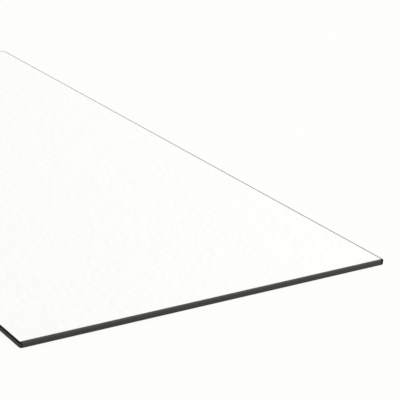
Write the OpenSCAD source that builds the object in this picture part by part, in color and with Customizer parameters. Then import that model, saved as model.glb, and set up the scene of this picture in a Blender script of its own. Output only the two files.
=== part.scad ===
// Cracked ice light panel: one moulded plastic sheet that lies in a nominal
// 2 ft by 4 ft opening of a ceiling grid or a light fitting.
//
// The sheet lies flat, smooth face down. The origin is at the middle of its
// underside, X runs across the sheet, Y along it and +Z up.
// Every edge has one section, drawn once: it is extruded along the four
// straight sides and revolved round the four corners.

/* [Sheet] */
// Width across the sheet (23 3/4 in)
sheet_w = 603.25; // [250:0.25:1250]
// Length along the sheet (47 3/4 in)
sheet_l = 1212.85; // [250:0.05:2450]
// Thickness over the peaks of the patterned face (nominal 3/8 in stock)
sheet_t = 9; // [6:0.1:20]

/* [Edges] */
// Radius of the four corners, seen from above
corner_r = 4.8; // [3.2:0.1:40]
// Radius that rounds the long arrises, above and below
arris_r = 2.4; // [0.3:0.1:4.4]

/* [Hidden] */

// Facets of a full circle
$fn = 96;

// Straight run of each side, between its two corners.
side_run_x = sheet_w - 2 * corner_r;
side_run_y = sheet_l - 2 * corner_r;

// The outer half of a disc, so that the rounding never reaches back past its
// own centre, however large the arris is next to the corner.
module outer_half_disc(r) {
    intersection() {
        circle(r = r);
        translate([0, -2 * r])
            square([2 * r, 4 * r]);
    }
}

// Section of the rim: x = 0 where the rim meets the flat middle of the sheet,
// x = corner_r at the outer edge, y = 0 on the underside.
module rim_section() {
    flat_w = corner_r - arris_r;
    square([flat_w, sheet_t]);
    translate([0, arris_r])
        square([corner_r, sheet_t - 2 * arris_r]);
    for (y = [arris_r, sheet_t - arris_r])
        translate([flat_w, y])
            outer_half_disc(arris_r);
}

// One straight side, along +Y, with its outer edge towards +X.
module straight_rim(run) {
    rotate([90, 0, 0])
        linear_extrude(height = run, center = true)
            rim_section();
}

// One corner, in the quarter between +X and +Y.
module corner_rim() {
    rotate_extrude(angle = 90)
        rim_section();
}

// The flat middle of the sheet, inside the rim.
module sheet_middle() {
    translate([-side_run_x / 2, -side_run_y / 2, 0])
        cube([side_run_x, side_run_y, sheet_t]);
}

module light_panel() {
    color("white")
        union() {
            sheet_middle();
            for (side = [0, 180]) {
                rotate([0, 0, side])
                    translate([side_run_x / 2, 0, 0])
                        straight_rim(side_run_y);
                rotate([0, 0, side + 90])
                    translate([side_run_y / 2, 0, 0])
                        straight_rim(side_run_x);
            }
            for (x = [0, 1], y = [0, 1])
                mirror([x, 0, 0])
                    mirror([0, y, 0])
                        translate([side_run_x / 2, side_run_y / 2, 0])
                            corner_rim();
        }
}

light_panel();
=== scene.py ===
# %% [markdown]
# # A cracked ice light panel
# This lesson dresses one flat plastic lighting panel: the kind that lies loose in a
# ceiling grid and spreads the light of the tubes above it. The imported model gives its
# size and place. Here it gets its rounded edges, its cracked ice relief, its finishes,
# a floor, soft light and a camera.

import math

import bpy
import numpy as np
from mathutils import Matrix, Vector
from mathutils.geometry import delaunay_2d_cdt


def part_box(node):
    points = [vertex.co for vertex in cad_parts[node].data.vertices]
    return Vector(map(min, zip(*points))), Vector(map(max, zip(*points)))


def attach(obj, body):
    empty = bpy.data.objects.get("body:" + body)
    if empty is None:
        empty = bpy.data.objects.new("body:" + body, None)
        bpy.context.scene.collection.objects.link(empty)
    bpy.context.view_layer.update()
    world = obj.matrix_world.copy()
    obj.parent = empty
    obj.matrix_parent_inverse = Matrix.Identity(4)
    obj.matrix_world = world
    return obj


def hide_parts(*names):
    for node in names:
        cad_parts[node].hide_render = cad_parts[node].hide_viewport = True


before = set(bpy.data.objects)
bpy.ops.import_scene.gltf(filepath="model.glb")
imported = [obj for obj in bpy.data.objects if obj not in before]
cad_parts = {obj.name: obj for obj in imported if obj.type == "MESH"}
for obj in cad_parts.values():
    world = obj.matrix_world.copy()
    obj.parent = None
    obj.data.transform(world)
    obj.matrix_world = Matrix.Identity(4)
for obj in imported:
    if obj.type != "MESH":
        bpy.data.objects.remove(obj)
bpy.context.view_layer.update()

# %% [markdown]
# ## The sheet's driving sizes
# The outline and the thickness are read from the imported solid, so the dressed panel
# always fits it. The two radii can't be read from a box, so they are written here in
# millimetres: a small radius at the four corners, seen from above, and a smaller one
# that takes the sharpness off every long edge. A maker calls such an edge an arris.

# %% Sizes
MM = 0.001

low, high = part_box("light_panel")
HALF_W = (high[0] - low[0]) / 2
HALF_L = (high[1] - low[1]) / 2
THICK = high[2] - low[2]
CORNER_R = 4.8 * MM
ARRIS_R = 2.4 * MM
print("half width, half length, thickness in mm:",
      [round(size / MM, 3) for size in (HALF_W, HALF_L, THICK)])

# %% [markdown]
# ## One loop of the outline
# Every height of the edge has the same outline, a rectangle with round corners, only
# set in by some amount. So one function gives that loop, with a normal for each point.
# A subdivision surface could round the edge too, but it would need holding loops, and
# its curve would only be near the real radius. Points on true arcs give it exactly.
# One more point stands on the straight at both ends of each arc, because a finish
# will have to end there.

# %% The outline, set in by some amount
CORNER_STEPS = 12
BESIDE_CORNER = 1.4 * MM


def outline(inset):
    """Points (x, y) and outward normals of the outline, set in by inset, anticlockwise."""
    radius = CORNER_R - inset
    points, normals = [], []
    for quarter, (side_x, side_y) in enumerate([(1, 1), (-1, 1), (-1, -1), (1, -1)]):
        for step in range(-1, CORNER_STEPS + 2):
            on_arc = min(max(step, 0), CORNER_STEPS)
            angle = math.radians(90 * (quarter + on_arc / CORNER_STEPS))
            out = (math.cos(angle), math.sin(angle))
            past = (step - on_arc) * BESIDE_CORNER
            points.append((side_x * (HALF_W - CORNER_R) + radius * out[0] - past * out[1],
                           side_y * (HALF_L - CORNER_R) + radius * out[1] + past * out[0]))
            normals.append(out)
    return points, normals


print("points in one loop:", len(outline(0)[0]))

# %% [markdown]
# ## The rim
# The rim is a stack of such loops. Up from the underside they follow a quarter circle
# outwards, go straight up the side, and follow a second quarter circle back in.
# Each loop's tilt says how far its normal points up or down. The same tilt gives the
# loop's inset and height, so shape and shading can't drift apart.
# Past the upper arris come two narrow flat bands. They change no shape, but the dark
# finish of the edge needs a place to end, and it doesn't end alike on every side.

# %% Loops of the rim
ARRIS_STEPS = 10
RIM_BANDS = (1.1 * MM, 1.5 * MM)
FACE_INSET = ARRIS_R + RIM_BANDS[-1]


def rim_loops():
    """(inset, height, tilt) of each loop, from the underside to the upper face."""
    loops = []
    for middle, first in ((ARRIS_R, -90), (THICK - ARRIS_R, 0)):
        for step in range(ARRIS_STEPS + 1):
            tilt = math.radians(first + 90 * step / ARRIS_STEPS)
            loops.append((ARRIS_R * (1 - math.cos(tilt)),
                          middle + ARRIS_R * math.sin(tilt), tilt))
    for band in RIM_BANDS:
        loops.append((ARRIS_R + band, THICK, math.radians(90)))
    return loops


print("loops in the rim:", len(rim_loops()))

# %% [markdown]
# ## The cracked ice relief
# While the acrylic is still soft it passes under a roller cut like crushed ice. That
# leaves flat facets a few millimetres wide, each tilted a little its own way, with
# sharp creases between them. A bump map would fake the shading, but close to the eye
# the creases would look painted on. So the facets are real triangles.
# Their corners are strewn on a grid and pushed about by a seeded generator, so that
# every run gives the same panel. The peaks reach the full thickness and the valleys
# lie half a millimetre under it. Such facets are 4 to 8 mm wide on real sheets; 7 mm
# keeps the number of triangles low. Beside the arris a narrow land stays flat,
# because the roller doesn't mark the very edge.

# %% Sizes of the relief
FACET = 7.0 * MM
SCATTER = 0.42
RELIEF_DEPTH = 0.5 * MM
LAND = 0.5 * MM
RELIEF_SEED = 11


def along(points, spacing):
    """The closed loop of points, with long stretches cut into steps of about spacing."""
    fine = []
    for start, end in zip(points, points[1:] + points[:1]):
        steps = max(1, round(math.dist(start, end) / spacing))
        for step in range(steps):
            share = step / steps
            fine.append(tuple(a + (b - a) * share for a, b in zip(start, end)))
    return fine


def strewn_points():
    """Scattered points that fill the face inside the land, and how deep each one lies."""
    random = np.random.default_rng(RELIEF_SEED)
    room_x = HALF_W - FACE_INSET - LAND - FACET / 2
    room_y = HALF_L - FACE_INSET - LAND - FACET / 2
    count_x = round(2 * room_x / FACET)
    count_y = round(2 * room_y / FACET)
    grid_x, grid_y = np.meshgrid(np.linspace(-room_x, room_x, count_x),
                                 np.linspace(-room_y, room_y, count_y))
    push = random.uniform(-SCATTER, SCATTER, (2, count_y, count_x)) * FACET
    x = np.clip(grid_x + push[0], -room_x, room_x).ravel()
    y = np.clip(grid_y + push[1], -room_y, room_y).ravel()
    depth = random.uniform(0, RELIEF_DEPTH, x.size)
    return list(zip(x, y)), list(depth)


print("points strewn on the face:", len(strewn_points()[0]))

# %% [markdown]
# ## From points to facets
# A Delaunay triangulation joins each point to its near neighbours and avoids slivers.
# Here it is a constrained one: the rim's last loop and the inner line of the land are
# given as edges that it has to keep, so the facets meet the rim exactly. A Voronoi
# cell pattern would give rounder cells, but its cells aren't flat once their corners
# move up and down. Three corners always lie in one plane.
# The call's last two values ask for the triangles inside the border only, and say how
# near two points must be to count as one.

# %% Facets between the strewn points
INSIDE_BORDER = 1
SAME_POINT = 1e-9


def facet_mesh(border):
    """Vertices (x, y, depth), triangles that fill the border, and each vertex's source."""
    x, y = HALF_W - FACE_INSET - LAND, HALF_L - FACE_INSET - LAND
    land_edge = along([(-x, -y), (x, -y), (x, y), (-x, y)], FACET)
    strewn, depth = strewn_points()
    flat = border + land_edge
    points = [Vector(point) for point in flat + strewn]
    depths = [0.0] * len(flat) + depth
    rings = []
    for first, count in ((0, len(border)), (len(border), len(land_edge))):
        rings += [(first + i, first + (i + 1) % count) for i in range(count)]
    found, _, triangles, origins, _, _ = delaunay_2d_cdt(points, rings, [], INSIDE_BORDER,
                                                         SAME_POINT)
    vertices = []
    for point, source in zip(found, origins):
        vertices.append((point[0], point[1], depths[source[0]]))
    return vertices, [tuple(t) for t in triangles], origins


print("facets:", len(facet_mesh(outline(FACE_INSET)[0])[1]))

# %% [markdown]
# ## Where each finish goes
# The dark finish of the edge laps over onto the face, and each side shows that by
# its own amount: most on the right and at the far end, a little less at the near
# end. The left side is the sheet's factory edge, where white acrylic comes part way
# round the arris, and the rest of that arris is painted black: a painted dark
# reflection, such as a glossy arris shows where it mirrors something dark. So is an
# upright line at each corner, narrow on the left and wider on the right. Where it
# starts and stops is an angle in degrees, counted from the way that the end faces.
# Each quad of the rim gets one finish. That is cheaper than a painted mask, and the
# borders stay crisp.

# %% The finish of a quad
FACE_FINISH, EDGE_FINISH, PAINTED_DARK_REFLECTION_FINISH = 0, 1, 2
LEFT_REACH = 1.7 * MM
NEAR_REACH = 3.5 * MM
FAR_REACH = 3.9 * MM
LEFT_LINE = (22, 38)
RIGHT_LINE = (-1, 55)


def rim_finish(place, outward, inset, tilt):
    """The finish of a quad of the rim, by its place, direction, inset and tilt."""
    if outward[0] < -abs(outward[1]):
        reach = LEFT_REACH
    elif outward[1] < -abs(outward[0]):
        reach = NEAR_REACH
    else:
        reach = FAR_REACH
    if tilt > 0 and inset > reach:
        return FACE_FINISH
    # The left arris above the white, and the corner lines below, take the painted dark
    # reflection.
    if tilt > 0 and reach == LEFT_REACH:
        return PAINTED_DARK_REFLECTION_FINISH
    corner_zone = CORNER_R + BESIDE_CORNER
    at_corner = HALF_W - abs(place[0]) < corner_zone and HALF_L - abs(place[1]) < corner_zone
    turned = math.degrees(math.atan2(abs(outward[0]), abs(outward[1])))
    first, last = RIGHT_LINE if place[0] > 0 else LEFT_LINE
    return PAINTED_DARK_REFLECTION_FINISH if at_corner and first < turned < last else EDGE_FINISH


print("reach of the edge finish in mm:",
      [round(reach / MM, 2) for reach in (LEFT_REACH, NEAR_REACH, FAR_REACH)])

# %% [markdown]
# ## The rim's quads
# Now the loops become vertices, each with its exact normal, and every two loops that
# follow each other are joined by a ring of quads. A curve with a bevel could sweep
# the same section, but its normals and its faces would be harder to steer.

# %% Join the loops
def rim_mesh():
    """Vertices, their normals, the quads between the loops, and each quad's finish."""
    vertices, normals, quads, finishes = [], [], [], []
    loops = rim_loops()
    for inset, height, tilt in loops:
        points, outward = outline(inset)
        vertices += [(x, y, low[2] + height) for x, y in points]
        normals += [(nx * math.cos(tilt), ny * math.cos(tilt), math.sin(tilt))
                    for nx, ny in outward]
    size = len(points)
    for level, (lower, upper) in enumerate(zip(loops, loops[1:])):
        inset, _, tilt = [(a + b) / 2 for a, b in zip(lower, upper)]
        for i in range(size):
            j = (i + 1) % size
            first, second = level * size + i, level * size + j
            quads.append((first, second, second + size, first + size))
            place = [(points[i][axis] + points[j][axis]) / 2 for axis in (0, 1)]
            facing = [outward[i][axis] + outward[j][axis] for axis in (0, 1)]
            finishes.append(rim_finish(place, facing, inset, tilt))
    return vertices, normals, quads, finishes


print("quads in the rim:", len(rim_mesh()[2]))

# %% [markdown]
# ## One closed mesh
# The panel is moulded in one piece, so it is one closed mesh. One polygon closes the
# underside, and the facets close the top. The facets share the rim's last loop, so
# no seam is open. Facets are shaded flat, to keep their creases sharp. The rim is
# shaded with the exact normals of its arcs.

# %% Build the panel
def build_panel():
    """The panel's mesh, with a finish for each of its faces."""
    vertices, normals, faces, finishes = rim_mesh()
    rim_faces = len(faces)
    size = len(outline(0)[0])
    faces.append(tuple(reversed(range(size))))

    last = len(vertices) - size
    border = [vertex[:2] for vertex in vertices[last:]]
    inner, triangles, origins = facet_mesh(border)
    number = []
    for (x, y, depth), source in zip(inner, origins):
        if source[0] < size:
            number.append(last + source[0])
        else:
            number.append(len(vertices))
            vertices.append((x, y, high[2] - depth))
    faces += [tuple(number[corner] for corner in triangle) for triangle in triangles]
    finishes += [FACE_FINISH] * (len(faces) - rim_faces)

    mesh = bpy.data.meshes.new("cracked_ice_sheet")
    mesh.from_pydata(vertices, [], faces)
    mesh.polygons.foreach_set("material_index", finishes)
    mesh.polygons.foreach_set("use_smooth", [i < rim_faces for i in range(len(faces))])
    shading = []
    for polygon in mesh.polygons:
        for corner in polygon.vertices:
            smooth = polygon.index < rim_faces
            shading.append(normals[corner] if smooth else tuple(polygon.normal))
    mesh.normals_split_custom_set(shading)
    mesh.validate()
    panel = bpy.data.objects.new("cracked_ice_sheet", mesh)
    bpy.context.scene.collection.objects.link(panel)
    return panel


panel = build_panel()
print("faces of the panel:", len(panel.data.polygons))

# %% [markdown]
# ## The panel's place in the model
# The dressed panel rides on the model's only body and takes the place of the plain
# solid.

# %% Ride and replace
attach(panel, "root")
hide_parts("light_panel")
print("the dressed panel replaces light_panel")

# %% [markdown]
# ## Colours and nodes
# Colours are picked on a screen as sRGB hex values, but the renderer adds up light in
# linear values. One function turns the first into the second. A second function adds
# a node with its settings and links, so that each material reads as a short list.
# It takes a socket by its name, or by its number after an underscore where a node
# has several sockets of one name.

# %% Colour and node helpers
def linear(hex_colour):
    """A hex colour such as #FBFBFA as linear red, green, blue and alpha."""
    channels = [int(hex_colour[i:i + 2], 16) / 255 for i in (1, 3, 5)]
    return [c / 12.92 if c <= 0.04045 else ((c + 0.055) / 1.055) ** 2.4
            for c in channels] + [1.0]


def add_node(tree, kind, settings=None, **inputs):
    """A node of that kind. An input is a value or the socket that feeds it."""
    node = tree.nodes.new(kind)
    for name, value in (settings or {}).items():
        setattr(node, name, value)
    for name, value in inputs.items():
        key = int(name[1:]) if name[1:].isdigit() else name.replace("_", " ")
        if isinstance(value, bpy.types.NodeSocket):
            tree.links.new(value, node.inputs[key])
        else:
            node.inputs[key].default_value = value
    return node


def new_material(name):
    """An empty node material and its tree."""
    material = bpy.data.materials.new(name)
    material.use_nodes = True
    material.node_tree.nodes.clear()
    return material, material.node_tree


print("white acrylic in linear values:", [round(c, 3) for c in linear("#FBFBFA")])

# %% [markdown]
# ## White acrylic, moulded
# The sheet is opal acrylic, PMMA with a white pigment. It comes off the roller with
# bright facets that have a very fine skin of their own, never quite as clean as
# glass. To the eye that is a bright, even white with a soft gloss. Acrylic refracts
# at 1.49. Its colour barely changes, so a slow noise moves it by a step or two
# only, and a finer noise breaks up the gloss.
# The real sheet lets some light through. Lying on a white floor it shows no sign of
# that, so it is kept opaque, which is quicker to render and free of grain.

# %% White acrylic
ACRYLIC_IOR = 1.49
CLOUD = 90 * MM
SKIN = 0.8 * MM
SKIN_ROUGHNESS = (0.1, 0.22)
SKIN_HEIGHT = 0.02 * MM


def white_acrylic():
    """White, a shade cloudy, with a gloss that a fine skin breaks up."""
    material, tree = new_material("white_acrylic_moulded")
    place = add_node(tree, "ShaderNodeTexCoord").outputs["Object"]
    cloud = add_node(tree, "ShaderNodeTexNoise", Vector=place, Scale=1 / CLOUD, Detail=2.0)
    colour = add_node(tree, "ShaderNodeMix", {"data_type": "RGBA"},
                      _0=cloud.outputs["Fac"], _6=linear("#FBFBFA"), _7=linear("#FDFDFC"))
    skin = add_node(tree, "ShaderNodeTexNoise", Vector=place, Scale=1 / SKIN, Detail=3.0)
    gloss = add_node(tree, "ShaderNodeMapRange", Value=skin.outputs["Fac"],
                     To_Min=SKIN_ROUGHNESS[0], To_Max=SKIN_ROUGHNESS[1])
    bump = add_node(tree, "ShaderNodeBump", Height=skin.outputs["Fac"],
                    Strength=0.08, Distance=SKIN_HEIGHT)
    surface = add_node(tree, "ShaderNodeBsdfPrincipled", Base_Color=colour.outputs[2],
                       Roughness=gloss.outputs["Result"], IOR=ACRYLIC_IOR,
                       Normal=bump.outputs["Normal"])
    add_node(tree, "ShaderNodeOutputMaterial", Surface=surface.outputs["BSDF"])
    return material


panel.data.materials.append(white_acrylic())
print("finish of the faces:", panel.data.materials[0].name)

# %% [markdown]
# ## The edge, sawn and polished
# A panel is sawn to size, and its edges are then polished. Seen from the side, the
# edge shows the depth of the sheet, where little light comes back: a dark, glossy
# grey. Nearly all of that grey is the white floor, mirrored faintly in the gloss,
# so the colour under it is almost black, a painted shade for that depth. The saw
# leaves faint upright marks, about a millimetre and a half apart, which the polish
# softens but doesn't take away.
# The noise is stretched along Z, so that each mark runs the full height of the edge.
# Along the top the grey is paler: a painted highlight for the light that the upper
# arris catches from above.

# %% Polished edge
SAW_MARK = 1.5 * MM
MARK_STRETCH = 20
MARK_HEIGHT = 0.03 * MM
PAINTED_HIGHLIGHT_BAND = 3.5 * MM
EDGE_ROUGHNESS = (0.1, 0.2)


def polished_edge():
    """Painted near-black shade under a gloss, with upright saw marks and a painted highlight
    along the top.
    """
    material, tree = new_material("acrylic_edge_polished")
    place = add_node(tree, "ShaderNodeTexCoord").outputs["Object"]
    upright = add_node(tree, "ShaderNodeMapping", Vector=place,
                       Scale=(1.0, 1.0, 1 / MARK_STRETCH))
    marks = add_node(tree, "ShaderNodeTexNoise", Vector=upright.outputs["Vector"],
                     Scale=1 / SAW_MARK, Detail=2.0)
    # The near black is a painted shade for the sheet's depth; the saw marks vary it a
    # little.
    depth = add_node(tree, "ShaderNodeMix", {"data_type": "RGBA"},
                     _0=marks.outputs["Fac"], _6=linear("#191919"), _7=linear("#1F1F1E"))
    # upper is the painted highlight: a paler grey over the top of the edge.
    height = add_node(tree, "ShaderNodeSeparateXYZ", Vector=place).outputs["Z"]
    upper = add_node(tree, "ShaderNodeMapRange", {"interpolation_type": "SMOOTHSTEP"},
                     Value=height, From_Min=THICK - PAINTED_HIGHLIGHT_BAND, From_Max=THICK)
    colour = add_node(tree, "ShaderNodeMix", {"data_type": "RGBA"},
                      _0=upper.outputs["Result"], _6=depth.outputs[2],
                      _7=linear("#363635"))
    gloss = add_node(tree, "ShaderNodeMapRange", Value=marks.outputs["Fac"],
                     To_Min=EDGE_ROUGHNESS[0], To_Max=EDGE_ROUGHNESS[1])
    bump = add_node(tree, "ShaderNodeBump", Height=marks.outputs["Fac"],
                    Strength=0.1, Distance=MARK_HEIGHT)
    surface = add_node(tree, "ShaderNodeBsdfPrincipled", Base_Color=colour.outputs[2],
                       Roughness=gloss.outputs["Result"], IOR=ACRYLIC_IOR,
                       Normal=bump.outputs["Normal"])
    add_node(tree, "ShaderNodeOutputMaterial", Surface=surface.outputs["BSDF"])
    return material


panel.data.materials.append(polished_edge())
print("finish of the rim:", panel.data.materials[1].name)

# %% [markdown]
# ## Painted dark reflection
# The black on the left arris and on the upright corner lines is painted: it stands
# for the dark reflection that the glossy arris would show there. It is matt black,
# the darkest tone on the panel. Matt means a high roughness and a low specular
# level. A fine noise makes the black uneven.

# %% Painted dark reflection
BLACK_GRAIN = 0.6 * MM
BLACK_HEIGHT = 0.05 * MM
BLACK_ROUGHNESS = (0.5, 0.7)


def paint_dark_reflection():
    """Painted dark reflection: matt black, uneven in tone, gloss and height."""
    material, tree = new_material("acrylic_painted_dark_reflection")
    place = add_node(tree, "ShaderNodeTexCoord").outputs["Object"]
    black_noise = add_node(tree, "ShaderNodeTexNoise", Vector=place, Scale=1 / BLACK_GRAIN,
                    Detail=3.0)
    colour = add_node(tree, "ShaderNodeMix", {"data_type": "RGBA"},
                      _0=black_noise.outputs["Fac"], _6=linear("#040404"), _7=linear("#0D0D0B"))
    gloss = add_node(tree, "ShaderNodeMapRange", Value=black_noise.outputs["Fac"],
                     To_Min=BLACK_ROUGHNESS[0], To_Max=BLACK_ROUGHNESS[1])
    bump = add_node(tree, "ShaderNodeBump", Height=black_noise.outputs["Fac"],
                    Strength=0.3, Distance=BLACK_HEIGHT)
    surface = add_node(tree, "ShaderNodeBsdfPrincipled", Base_Color=colour.outputs[2],
                       Roughness=gloss.outputs["Result"], IOR=ACRYLIC_IOR,
                       Specular_IOR_Level=0.08, Normal=bump.outputs["Normal"])
    add_node(tree, "ShaderNodeOutputMaterial", Surface=surface.outputs["BSDF"])
    return material


panel.data.materials.append(paint_dark_reflection())
print("finish of the painted dark reflection:", panel.data.materials[2].name)

# %% [markdown]
# ## Floor and background
# The photograph has one white all round the panel. Turning the lamps up until the
# floor burns out would wash out the panel too. Instead the camera sees most of the
# floor as a flat white, and the rest as a real pale surface, which keeps a faint
# shadow beside the panel. Mirrored and transmitted rays see less of the flat white,
# so that the shadow also darkens what the glossy edge mirrors.

# %% White for the rays that see the background
BACKGROUND = linear("#FEFEFC")
FLOOR_HALF = 30.0
FLAT_SHARE = 0.94
FLAT_SHARE_MIRRORED = 0.3


def seen_rays(tree, straight, mirrored):
    """straight for a camera ray, mirrored for a glossy or transmitted one, otherwise 0."""
    path = add_node(tree, "ShaderNodeLightPath")
    either = add_node(tree, "ShaderNodeMath", {"operation": "MAXIMUM"},
                      _0=path.outputs["Is Glossy Ray"],
                      _1=path.outputs["Is Transmission Ray"])
    second = add_node(tree, "ShaderNodeMath", {"operation": "MULTIPLY"},
                      _0=either.outputs[0], _1=mirrored)
    return add_node(tree, "ShaderNodeMath", {"operation": "MULTIPLY_ADD"},
                    _0=path.outputs["Is Camera Ray"], _1=straight,
                    _2=second.outputs[0]).outputs[0]


def floor_material():
    """A pale matt floor, mixed with a flat white for the rays that see it directly."""
    material, tree = new_material("studio_floor_white")
    pale = add_node(tree, "ShaderNodeBsdfDiffuse", Color=linear("#F8F8F6"))
    flat = add_node(tree, "ShaderNodeEmission", Color=BACKGROUND, Strength=1.0)
    mixed = add_node(tree, "ShaderNodeMixShader",
                     _0=seen_rays(tree, FLAT_SHARE, FLAT_SHARE_MIRRORED),
                     _1=pale.outputs["BSDF"], _2=flat.outputs["Emission"])
    add_node(tree, "ShaderNodeOutputMaterial", Surface=mixed.outputs["Shader"])
    return material


def level_sheet(name, x, y, height, material):
    """A flat sheet from x[0] to x[1] and from y[0] to y[1], at that height."""
    mesh = bpy.data.meshes.new(name)
    mesh.from_pydata([(x[0], y[0], height), (x[1], y[0], height),
                      (x[1], y[1], height), (x[0], y[1], height)], [], [(0, 1, 2, 3)])
    mesh.materials.append(material)
    sheet = bpy.data.objects.new(name, mesh)
    bpy.context.scene.collection.objects.link(sheet)
    return sheet


floor = level_sheet("studio_floor", (-FLOOR_HALF, FLOOR_HALF),
                    (-FLOOR_HALF, FLOOR_HALF), low[2], floor_material())
print("floor, metres across:", 2 * FLOOR_HALF)

# %% [markdown]
# ## A grey card beside the left edge
# A glossy edge mirrors the floor right beside it. The white floor would make the left
# edge too pale, so a grey card lies along it, as a photographer might lay one. Here
# only glossy rays can see the card, so it changes nothing but that reflection, and
# it never shows in the picture.

# %% Grey card
CARD_WIDTH = 0.5
CARD_GAP = 1.0 * MM
CARD_LIFT = 0.2 * MM


def lay_grey_card():
    """A card on the floor along the left edge, which only glossy rays can see."""
    material, tree = new_material("card_grey_matt")
    matt = add_node(tree, "ShaderNodeBsdfDiffuse", Color=linear("#DCDCDB"))
    add_node(tree, "ShaderNodeOutputMaterial", Surface=matt.outputs["BSDF"])
    near_x = -HALF_W - CARD_GAP
    card = level_sheet("grey_card", (near_x - CARD_WIDTH, near_x), (-HALF_L, HALF_L),
                       low[2] + CARD_LIFT, material)
    for kind in ("camera", "diffuse", "transmission", "shadow"):
        setattr(card, "visible_" + kind, False)


lay_grey_card()
print("card, metres wide:", CARD_WIDTH)

# %% [markdown]
# ## The world round the studio
# The world gives an even light from all sides, somewhat weaker than the lamp. Rays
# that see it straight on, or mirrored, find plain white instead, as in a white tent.

# %% World light
WORLD_LIGHT = 0.52


def white_world():
    """An even light for diffuse rays, and the background's white for all others."""
    world = bpy.data.worlds.new("studio")
    world.use_nodes = True
    tree = world.node_tree
    tree.nodes.clear()
    light = add_node(tree, "ShaderNodeBackground", Color=BACKGROUND, Strength=WORLD_LIGHT)
    seen = add_node(tree, "ShaderNodeBackground", Color=BACKGROUND, Strength=1.0)
    mixed = add_node(tree, "ShaderNodeMixShader", _0=seen_rays(tree, 1.0, 1.0),
                     _1=light.outputs["Background"], _2=seen.outputs["Background"])
    add_node(tree, "ShaderNodeOutputWorld", Surface=mixed.outputs["Shader"])
    bpy.context.scene.world = world


white_world()
print("world light:", WORLD_LIGHT)

# %% [markdown]
# ## The studio lamp
# One large soft lamp stands to the right and in front, and so high that the shallow
# facets show without shouting: the lower a lamp, the harder it rakes the relief.
# Its disc is six metres wide, which keeps shadows soft. It is hidden from glossy
# rays, so that no facet flashes. The strength is set so that a white card on the
# floor renders as white, and no whiter.

# %% Lamp
LAMP_AT = (7.2, -3.15, 10.5)
LAMP_ACROSS = 6.0
LAMP_WATTS = 1070.0


def soft_lamp(name, place, size, power):
    """A disc of light at place, aimed at the panel, that glossy rays can't see."""
    data = bpy.data.lights.new(name, "AREA")
    data.shape = "DISK"
    data.size = size
    data.energy = power
    lamp = bpy.data.objects.new(name, data)
    lamp.location = place
    lamp.rotation_euler = (-Vector(place)).to_track_quat("-Z", "Y").to_euler()
    lamp.visible_glossy = False
    bpy.context.scene.collection.objects.link(lamp)
    return lamp


key_lamp = soft_lamp("key_lamp", LAMP_AT, LAMP_ACROSS, LAMP_WATTS)
print("lamp strength in watts:", key_lamp.data.energy)

# %% [markdown]
# ## The camera
# The camera stands to the left of the panel's near end and looks down along it. Its
# place and turn were worked out from the lines of the panel's edges, so the turn is
# given as a heading, a tilt and a small roll rather than as a point to look at.
# A long lens keeps the edges nearly parallel.

# %% Camera
CAMERA_AT = (-1.0635, -2.0068, 0.8218)
HEADING, TILT, ROLL = 36.091, -20.959, 4.340
FOCAL = 128.14
SENSOR = 36.0


def look_from(place, heading, tilt, roll, focal):
    """A camera at place; heading turns from +Y towards +X, and tilt is up from level."""
    heading, tilt, roll = (math.radians(angle) for angle in (heading, tilt, roll))
    forward = Vector((math.sin(heading) * math.cos(tilt),
                      math.cos(heading) * math.cos(tilt), math.sin(tilt)))
    right = Vector((math.cos(heading), -math.sin(heading), 0))
    up = right.cross(forward)
    side = right * math.cos(roll) + up * math.sin(roll)
    top = up * math.cos(roll) - right * math.sin(roll)
    data = bpy.data.cameras.new("camera")
    data.lens = focal
    data.sensor_width = SENSOR
    camera = bpy.data.objects.new("camera", data)
    turn = Matrix((side, top, -forward)).transposed()
    camera.matrix_world = Matrix.Translation(place) @ turn.to_4x4()
    bpy.context.scene.collection.objects.link(camera)
    return camera


scene = bpy.context.scene
scene.camera = look_from(CAMERA_AT, HEADING, TILT, ROLL, FOCAL)
scene.view_settings.view_transform = "Standard"
print("focal length in mm:", FOCAL)
